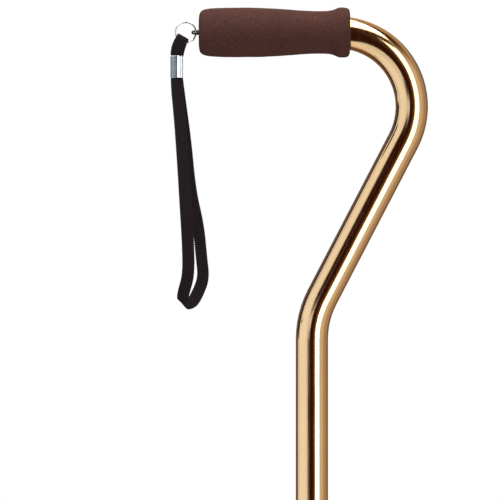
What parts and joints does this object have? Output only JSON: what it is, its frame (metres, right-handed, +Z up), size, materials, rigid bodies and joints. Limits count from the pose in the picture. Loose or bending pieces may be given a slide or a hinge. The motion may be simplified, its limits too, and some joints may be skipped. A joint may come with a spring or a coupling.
{
  "type": "quad walking cane",
  "caption": "Offset-handle walking cane on a low four-footed base, with a telescoping tube, a foam grip and a wrist strap.",
  "frame": {"origin": "on the floor, midway between the four rubber tips", "axes": "+Z up along the stem; +X towards the side the handle bows out to; -Y is the side of the base the stem stands nearest"},
  "size_m": [0.2348, 0.1488, 0.8382],
  "materials": {
    "bronze_tube": "gloss",
    "black_tube": "gloss",
    "black_steel": "gloss",
    "foam": "matte",
    "webbing": "matte",
    "bright_wire": "polished",
    "crimp_metal": "satin",
    "black_plastic": "satin",
    "inner_plastic": "matte",
    "grey_rubber": "matte",
    "zinc_steel": "satin",
    "spring_steel": "satin"
  },
  "bodies": {
    "base": {"base_plate": "black_steel", "front_leg_tube": "black_steel", "rear_leg_tube": "black_steel", "weld_beads": "black_steel", "tip_washers": "zinc_steel", "stem_socket": "black_plastic", "collar_collet": "inner_plastic", "base_bolt": "zinc_steel", "saddle_washer": "zinc_steel", "lock_nut": "zinc_steel", "tip_front_left": "grey_rubber", "tip_front_right": "grey_rubber", "tip_rear_left": "grey_rubber", "tip_rear_right": "grey_rubber"},
    "collar_nut": {"collar_nut": "black_plastic"},
    "stem": {"stem_tube": "black_tube", "stem_foot_plug": "inner_plastic", "stem_top_bush": "inner_plastic", "button_spring": "spring_steel"},
    "button": {"snap_button": "zinc_steel"},
    "handle": {"handle_tube": "bronze_tube", "foam_grip": "foam", "grip_end_plug": "inner_plastic", "screw_eye": "bright_wire", "lock_sleeve": "inner_plastic"},
    "locking_ring": {"locking_ring": "black_plastic"},
    "ring": {"split_ring": "bright_wire"},
    "strap": {"wrist_strap": "webbing", "strap_crimp": "crimp_metal"}
  },
  "joints": [
    {"name": "collar_nut_turn", "type": "hinge", "parent": "base", "child": "collar_nut", "pos_m": [0, -0.0135, 0.1], "axis": [0, 0, 1], "range_deg": [0, 180]},
    {"name": "stem_swivel", "type": "hinge", "parent": "base", "child": "stem", "pos_m": [0, -0.0135, 0.1], "axis": [0, 0, 1], "range_deg": [0, 180]},
    {"name": "height_slide", "type": "slide", "parent": "stem", "child": "handle", "axis": [0, 0, 1], "range_m": [-0.1016, 0.127], "deforming": ["snap_button", "button_spring"]},
    {"name": "button_press", "type": "slide", "parent": "stem", "child": "button", "axis": [0, -1, 0], "range_m": [0, 0.004], "stiffness_N_per_m": 900, "springref_m": -0.002},
    {"name": "locking_ring_turn", "type": "hinge", "parent": "handle", "child": "locking_ring", "pos_m": [0, -0.0135, 0.24], "axis": [0, 0, 1], "range_deg": [0, 180]},
    {"name": "ring_swing", "type": "hinge", "parent": "handle", "child": "ring", "pos_m": [-0.0912, -0.0135, 0.8186], "axis": [0, 0, 1], "range_deg": [-60, 60]},
    {"name": "strap_swing", "type": "hinge", "parent": "ring", "child": "strap", "pos_m": [-0.0992, -0.0135, 0.8186], "axis": [0, 1, 0], "range_deg": [-8, 60]}
  ]
}
